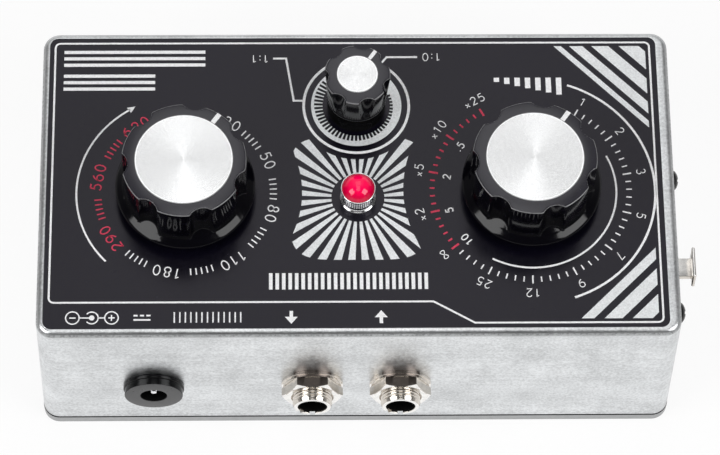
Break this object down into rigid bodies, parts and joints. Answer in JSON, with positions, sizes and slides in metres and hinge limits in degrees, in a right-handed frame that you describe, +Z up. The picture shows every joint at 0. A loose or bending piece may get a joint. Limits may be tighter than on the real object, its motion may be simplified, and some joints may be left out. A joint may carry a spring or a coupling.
{
  "type": "delay pedal",
  "caption": "Tabletop echo effect pedal: cast metal box with fluted turning knobs, a red dome lamp, a power socket, jack sockets and latched line sockets.",
  "frame": {"origin": "middle of the base plate's underside", "axes": "+Z up through the control panel, +Y towards the wall with the jacks, -Y towards the user, +X to the user's right"},
  "size_m": [0.1572, 0.088, 0.0679],
  "materials": {
    "cast_metal": "bare cast metal with fine grain, satin charcoal ink on the top",
    "knob_plastic": "moulded black, glossy sides",
    "spun_aluminium": "spun, with circular brushing",
    "brass": "turned",
    "dark_steel": "blackened",
    "bright_steel": "bright plated",
    "chrome": "polished",
    "red_lens": "glossy, lit from inside",
    "black_plastic": "moulded",
    "nickel": "bright nickel plate",
    "brown_laminate": "laminate",
    "green_board": "lacquered laminate",
    "blue_sleeve": "shrunk sleeve",
    "red_film": "dipped",
    "tan_resistor": "lacquered",
    "red_wire": "insulated",
    "white_wire": "insulated"
  },
  "bodies": {
    "housing": {"enclosure": "cast_metal", "base_plate": "cast_metal", "base_screws": "bright_steel", "time_pot_bushing": "bright_steel", "time_pot_can": "bright_steel", "feedback_pot_bushing": "bright_steel", "feedback_pot_can": "bright_steel", "blend_pot_bushing": "bright_steel", "blend_pot_can": "bright_steel", "pot_nuts": "bright_steel", "pot_washers": "bright_steel", "pot_terminals": "bright_steel", "lamp_nut": "bright_steel", "dc_socket_pin": "bright_steel", "dc_socket_nut": "bright_steel", "dc_socket_lugs": "bright_steel", "latch_spring": "bright_steel", "lamp_bezel": "chrome", "lamp_lens": "red_lens", "lamp_diode": "red_lens", "dc_socket_body": "black_plastic", "send_jack_frame": "nickel", "receive_jack_frame": "nickel", "jack_nuts": "nickel", "jack_washers": "nickel", "input_shell": "nickel", "output_shell": "nickel", "send_tip_spring": "brass", "receive_tip_spring": "brass", "input_contacts": "brass", "output_pins": "brass", "jack_insulators": "brown_laminate", "input_insert": "black_plastic", "output_insert": "black_plastic", "delay_chips": "black_plastic", "amplifier_chip": "black_plastic", "socket_screws": "dark_steel", "circuit_board": "green_board", "electrolytic_capacitors": "blue_sleeve", "film_capacitors": "red_film", "resistors": "tan_resistor", "power_wires": "red_wire", "jack_wires": "white_wire", "socket_wires": "white_wire"},
    "time_control": {"time_knob": "knob_plastic", "time_cap": "spun_aluminium", "time_insert": "brass", "time_set_screw": "dark_steel", "time_shaft": "bright_steel"},
    "feedback_control": {"feedback_knob": "knob_plastic", "feedback_cap": "spun_aluminium", "feedback_insert": "brass", "feedback_set_screw": "dark_steel", "feedback_shaft": "bright_steel"},
    "blend_control": {"blend_knob": "knob_plastic", "blend_cap": "spun_aluminium", "blend_insert": "brass", "blend_set_screw": "dark_steel", "blend_shaft": "bright_steel"},
    "latch": {"input_latch": "nickel"}
  },
  "joints": [
    {"name": "time_turn", "type": "hinge", "parent": "housing", "child": "time_control", "pos_m": [0.0408, 0.0031, 0.05], "axis": [0, 0, -1], "range_deg": [0, 300]},
    {"name": "feedback_turn", "type": "hinge", "parent": "housing", "child": "feedback_control", "pos_m": [-0.0411, 0.0027, 0.05], "axis": [0, 0, -1], "range_deg": [0, 300]},
    {"name": "blend_turn", "type": "hinge", "parent": "housing", "child": "blend_control", "pos_m": [0.0001, -0.0199, 0.05], "axis": [0, 0, -1], "range_deg": [0, 300]},
    {"name": "latch_press", "type": "slide", "parent": "housing", "child": "latch", "axis": [0.9998, 0, -0.02], "range_m": [0, 0.002], "stiffness_N_per_m": 800, "springref_m": -0.0005, "deforming": ["latch_spring"]}
  ]
}
